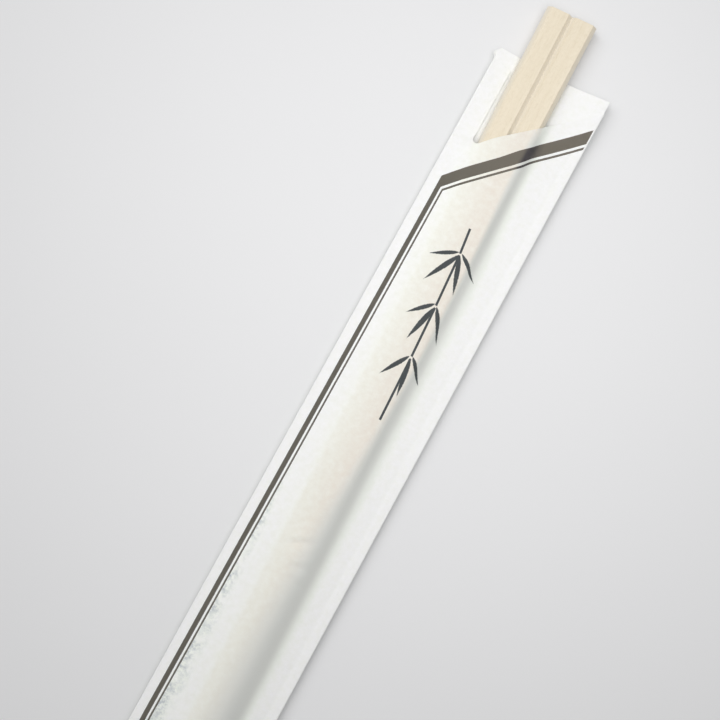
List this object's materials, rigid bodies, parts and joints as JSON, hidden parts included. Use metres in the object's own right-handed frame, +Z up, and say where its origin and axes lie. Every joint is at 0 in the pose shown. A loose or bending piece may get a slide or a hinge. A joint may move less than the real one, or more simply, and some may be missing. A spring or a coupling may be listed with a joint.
{
  "type": "disposable chopsticks",
  "caption": "Joined pair of disposable wooden chopsticks with chamfered edges and a middle groove, in a half-open white paper sleeve with a slanted mouth.",
  "frame": {"origin": "middle of the set's bounding box across and along, on the surface that it lies on", "axes": "+X across the set to the right, +Y along it towards the chopsticks' heads, +Z up, through the front panel"},
  "size_m": [0.0322, 0.211, 0.0047],
  "materials": {
    "wood": "planed, unvarnished pale softwood",
    "sleeve_paper": "thin uncoated white paper, printed in dark ink"
  },
  "bodies": {
    "root": {"chopstick_pair": "wood", "paper_sleeve": "sleeve_paper"}
  },
  "joints": []
}
